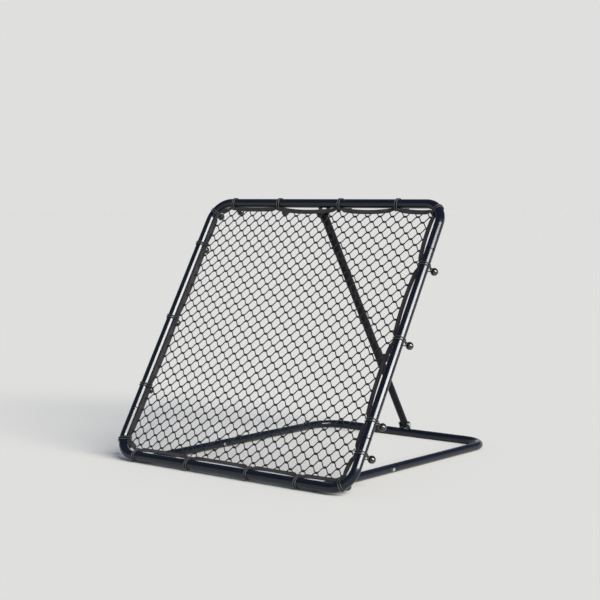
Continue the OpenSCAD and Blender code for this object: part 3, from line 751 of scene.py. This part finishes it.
def zigzag(row):
    """One cord between two rows of joints. Its height is that of the lower row's joint for half
    a joint's length each side of it, that of the upper row's joint half a column further on,
    and eases between them; the cords of a joint lie a radius above and below its middle. Beside
    its path it gives the cord's radius, which is JOINT_SWELL larger in the joints."""
    half = np.array([0.0, IN_JOINT, PAST_JOINT, COLUMN / 4, COLUMN / 2 - PAST_JOINT,
                     COLUMN / 2 - IN_JOINT])
    first = -math.ceil(SPAN / 2 / COLUMN) - 1
    columns = np.arange(first, -first)[:, None] * COLUMN
    x = (columns + np.concatenate([half, half + COLUMN / 2])).ravel()
    phase = np.abs((x / COLUMN - 0.5 * (row % 2) + 0.5) % 1.0 - 0.5) * COLUMN
    climb = np.clip((phase - JOINT / 2) / (COLUMN / 2 - JOINT), 0, 1)
    radius = CORD_R * np.where((climb == 0) | (climb == 1), 1 + JOINT_SWELL, 1)
    climb = 0.6 * climb + 0.4 * climb ** 2 * (3 - 2 * climb)
    y = row * ROW + CORD_R + climb * (ROW - 2 * CORD_R)
    return np.stack([x, y], -1), radius


def hung(points):
    """The net's points where they really hang: drawn a few millimetres out of their rows by
    uneven tension, and sunk backwards by NET_SAG in the middle, as a product of two cosines."""
    x, y = points[..., 0], points[..., 1] - SPAN / 2
    side = 0.0028 * np.sin(5.1 * x + 1.3) * np.cos(4.3 * y) + 0.0016 * np.sin(13.0 * y + 7.0 * x)
    up = 0.0030 * np.cos(4.7 * x - 0.6) * np.sin(5.9 * y) + 0.0014 * np.sin(11.0 * x - 5.0 * y)
    bulge_x, bulge_y = (np.cos(np.clip(axis / NET_SIZE, -0.5, 0.5) * math.pi) for axis in (x, y))
    return np.stack([points[..., 0] + side, points[..., 1] + up, -NET_SAG * bulge_x * bulge_y], -1)


def corded(path, radius, sides):
    """A round cord in the frame's plane, with a radius for each point of its path: each ring
    stands square to the path."""
    way = unit(np.gradient(path, axis=0))
    first = unit(np.cross((0.0, 0.0, 1.0), way))
    return tube(path, radius, first, np.cross(way, first), sides)


def laid_cord(name, colour, roughness, gloss, pitch):
    """Braided or laid cord: slanting yarns from a wave over the map `run`, in which one turn
    round the cord counts as one `pitch` along it, with a slight change of colour."""
    cord = NodeMaterial(name, colour, roughness, gloss)
    cord.set("Sheen Weight", 0.05)
    stretched = cord.node("ShaderNodeMapping", [("Vector", cord.run())], Scale=(1.0 / pitch, 2.0, 1.0))
    yarn = cord.node("ShaderNodeTexWave", [("Vector", stretched.outputs["Vector"])],
                     bands_direction="DIAGONAL", Scale=1.0, Distortion=0.3)
    cord.tinted(cord.noise(cord.place(), scale=60.0, detail=5.0), 0.4, 0.7, brighter(colour, 1.8))
    cord.raised(yarn.outputs["Fac"], strength=0.5, distance=0.0003)
    return cord.material


net_grids = []
for row in range(-1, math.ceil(SPAN / ROW) + 1):
    path, radius = zigzag(row)
    path = hung(path)
    kept = inside_tape(path[:, :2])
    edges = np.flatnonzero(np.diff(np.concatenate([[0], kept.astype(int), [0]])))
    for start, stop in zip(edges[::2], edges[1::2]):
        if stop - start > 2:
            net_grids.append(on_frame(corded(path[start:stop], radius[start:stop], sides=6)))
netting = laid_cord("net_cord", NET_BLACK, roughness=0.62, gloss=0.35, pitch=0.004)
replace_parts(skin("knotless_net", net_grids, netting, "front_frame"), "net")


# ---- Elastic loops ----
# Rubber core elastic with a braided cover. Each loop starts at the knot inside its ball, goes round
# the tube's front and over the tape, and comes back to hook over its own two strands at the ball.

ELASTIC = (0.020, 0.0205, 0.025)
ELASTIC_R = 0.0017
CLEAR = 0.00015
BALL_R = 0.0125
STRAND_HALF = 0.0038  # half of the distance between the two strands round the tube
HOOK_GAP = 0.0006
HOOK_REACH = 0.004
WRAP_R = BAR_R + ELASTIC_R + CLEAR

# From the tube's centre line, out of the frame and out of the net's front: the place that the
# strands at a ball point to, and the middle of a ball outside the frame and of one inside it.
NECK = (-0.008, 0.0)
OUTER_BALL = (0.010, -0.043)
TUCKED_BALL = (-0.0145, -0.038)


def direction(vector):
    """The angle of a vector in its plane."""
    return math.atan2(vector[1], vector[0])


def arc(middle, radius, start, stop, count):
    """Points of an arc in its plane."""
    angle = np.linspace(start, stop, count)
    return middle + radius * np.stack([np.cos(angle), np.sin(angle)], -1)


def loop_path(ball, tape_in, gather):
    """The cord of one loop in its tube's section: x out of the frame, y out of the net's front, z
    along the tube. Arcs touch the tube and the tape's edge where the angle of the far point,
    plus or minus the angle whose cosine is radius over distance, says; all is smoothed by two
    rounds of corner cutting."""
    ball = np.array(ball)
    way = unit(np.array(NECK) - ball)
    side = np.array([way[1], -way[0]])
    edge_half = TAPE_T / 2 * (1 + gather[1])
    edge_r = edge_half + ELASTIC_R + CLEAR
    edge = np.array([edge_half - tape_in - TAPE_W / 2 * (1 - 2 * gather[0]), 0.0])
    neck_half, over = ELASTIC_R + CLEAR, 2 * ELASTIC_R + HOOK_GAP
    neck = ball + way * (BALL_R + over)
    hook = ball + way * (BALL_R + over / 2)
    leave = math.pi - math.acos((WRAP_R - edge_r) / abs(edge[0]))
    meet = direction(neck) + math.acos(WRAP_R / np.linalg.norm(neck))
    back = 2 * math.pi + direction(hook - edge) - math.acos(edge_r / np.linalg.norm(hook - edge))
    flat = [ball + way * BALL_R * 0.3, ball + way * BALL_R * 0.7, neck,
            *arc(np.zeros(2), WRAP_R, meet, leave, 18), *arc(edge, edge_r, leave, back, 12),
            hook - side * HOOK_REACH, hook, hook + side * over * 0.75]
    half_z = [neck_half] * 3 + [STRAND_HALF] * 30 + [
        STRAND_HALF + 0.8 * over, neck_half + over, (neck_half + over) * 0.75]
    half = np.concatenate([np.array(flat), np.array(half_z)[:, None]], -1)
    far = np.array([[*(hook + side * over), 0.0]])
    path = np.concatenate([half, far, half[::-1] * (1, 1, -1)])
    for _ in range(2):
        cut = np.stack([0.75 * path[:-1] + 0.25 * path[1:], 0.25 * path[:-1] + 0.75 * path[1:]], 1)
        path = np.concatenate([path[:1], cut.reshape(-1, 3), path[-1:]])
    return resampled(path, np.linspace(0, travelled(path)[-1], 190))


def carried(path, radius, sides):
    """A round cord along any path. Each ring's first direction is the last ring's, freed of its
    share along the path, so the cord doesn't twist."""
    way = unit(np.gradient(path, axis=0))
    first = np.empty_like(path)
    now = np.cross(way[0], (0.3, 0.9, 0.1))
    for k, forward in enumerate(way):
        now = unit(now - np.dot(now, forward) * forward)
        first[k] = now
    return tube(path, radius, first, np.cross(way, first), sides)


def at_loop(points, loop):
    """Points of a loop's section, moved to its place on the frame."""
    x, up, angle = loop[:3]
    cos, sin = math.cos(angle), math.sin(angle)
    outwards, front, along = np.moveaxis(points, -1, 0)
    return on_frame(np.stack([x + outwards * cos + along * sin, up + outwards * sin - along * cos,
                              front], -1))


braid = laid_cord("elastic_braid", ELASTIC, roughness=0.38, gloss=0.5, pitch=0.0028)
cords = [carried(loop_path(ball, TAPE_IN, GATHER), ELASTIC_R, sides=10)
         for ball in (OUTER_BALL, TUCKED_BALL)]
left_cord = carried(loop_path(OUTER_BALL, LEFT_IN, LEFT_GATHER), ELASTIC_R, sides=10)
for piece, node, places, kinds in (("bottom_elastics", "bottom_loops", low_loops, cords),
                                   ("right_elastics", "right_loops", right_loops, cords),
                                   ("top_elastics", "top_loops", top_loops, cords),
                                   ("left_elastics", "left_loops", left_loops, [left_cord])):
    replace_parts(skin(piece, [at_loop(kinds[int(place[3])], place) for place in places], braid,
                     "front_frame"), node)


# ---- Balls ----
# Moulded polypropylene balls, glossy black, each with a hole for its loop and a fine seam round its
# middle where the mould's halves met.

BALL_BLACK = (0.006, 0.006, 0.007)
HOLE_R = 0.0044
HOLE_RIM = 0.0006
MOULD_SEAM = 0.00012


def ball_profile():
    """Half section of a ball from the bottom of its blind hole to its far pole, as (radius,
    height): the hole's wall, a rounded rim, then the circle, with a seam 0.12 mm proud."""
    rim = math.asin((HOLE_R + HOLE_RIM) / BALL_R)
    angle = np.linspace(rim, math.pi - 0.02, 40)
    radius = BALL_R + MOULD_SEAM * np.exp(-((angle - math.pi / 2) / 0.03) ** 2)
    mouth = BALL_R * math.cos(rim)
    hole = [[0.0005, 0.002], [HOLE_R - 0.0003, 0.002], [HOLE_R, 0.0025], [HOLE_R, mouth - 0.0010],
            [HOLE_R + 0.0002, mouth - 0.0003]]
    return np.concatenate([hole, np.stack([radius * np.sin(angle), radius * np.cos(angle)], -1)])


def ball_points(place):
    """A ball in its loop's section, its hole turned towards the strands."""
    way = np.array([NECK[0] - place[0], NECK[1] - place[1], 0.0])
    return placed(turned(ball_profile(), 48), (*place, 0.0), way, (0, 0, 1))


shiny = moulded_plastic("shiny_plastic", BALL_BLACK, roughness=0.16, gloss=1.0, grain=700.0, depth=0.04)
beads = [ball_points(ball) for ball in (OUTER_BALL, TUCKED_BALL)]
for piece, node, places in (("bottom_beads", "bottom_balls", low_loops),
                            ("right_beads", "right_balls", right_loops),
                            ("top_beads", "top_balls", top_loops),
                            ("left_beads", "left_balls", left_loops)):
    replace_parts(skin(piece, [at_loop(beads[int(place[3])], place) for place in places], shiny,
                     "front_frame"), node)


# ---- Floor and light ----
# A plain pale floor that runs out of sight into a pale wall of air, under a dim ceiling. The light
# is one long strip, high and far off to the viewer's right, and square to the frame's uprights.

FLOOR = (0.74, 0.74, 0.73)
FLOOR_HALF = 60
CEILING = (0.12, 0.15, 0.24)
CEILING_FROM = 0.16  # sine of the height above the horizon where the ceiling begins
CEILING_TO = 0.34
LIGHT_WAY = (-0.86, 0.18, -0.47)
LIGHT_FAR = 10000.0
LIGHT_WIDE = math.radians(52.0)
LIGHT_TALL = math.radians(13.0)
LIGHT_LEVEL = 6.52
LIGHT_COLOUR = (1.0, 0.965, 0.87)

floor_mesh = bpy.data.meshes.new("floor")
corners = [(x * FLOOR_HALF, y * FLOOR_HALF, 0) for x, y in ((-1, -1), (1, -1), (1, 1), (-1, 1))]
floor_mesh.from_pydata(corners, [], [(0, 1, 2, 3)])
floor_mesh.materials.append(NodeMaterial("pale_floor", FLOOR, roughness=0.95, gloss=0.0).material)
floor = bpy.data.objects.new("floor", floor_mesh)
bpy.context.scene.collection.objects.link(floor)

world = bpy.data.worlds.new("studio")
bpy.context.scene.world = world
world.use_nodes = True
air = world.node_tree
way_up = air.nodes.new("ShaderNodeSeparateXYZ")
air.links.new(air.nodes.new("ShaderNodeTexCoord").outputs["Generated"], way_up.inputs[0])
height = air.nodes.new("ShaderNodeMapRange")
height.interpolation_type = "SMOOTHSTEP"
height.inputs["From Min"].default_value = CEILING_FROM
height.inputs["From Max"].default_value = CEILING_TO
air.links.new(way_up.outputs["Z"], height.inputs["Value"])
tone = air.nodes.new("ShaderNodeMix")
tone.data_type = "RGBA"
tone.inputs[6].default_value = (*FLOOR, 1.0)
tone.inputs[7].default_value = (*CEILING, 1.0)
air.links.new(height.outputs["Result"], tone.inputs[0])
air.links.new(tone.outputs[2], air.nodes["Background"].inputs["Color"])

key_data = bpy.data.lights.new("key", "AREA")
key_data.shape = "RECTANGLE"
key_data.size = 2 * LIGHT_FAR * math.tan(LIGHT_WIDE / 2)
key_data.size_y = 2 * LIGHT_FAR * math.tan(LIGHT_TALL / 2)
key_data.energy = LIGHT_LEVEL * math.pi * LIGHT_FAR ** 2
key_data.color = LIGHT_COLOUR
key = bpy.data.objects.new("key", key_data)
back = -unit(np.array(LIGHT_WAY))
long_side = unit(np.cross(back, slope))
key.location = LIGHT_FAR * back
key.rotation_euler = mathutils.Matrix(
    np.stack([long_side, np.cross(back, long_side), back], -1).tolist()).to_euler()
bpy.context.scene.collection.objects.link(key)

bpy.context.scene.view_settings.view_transform = "Standard"
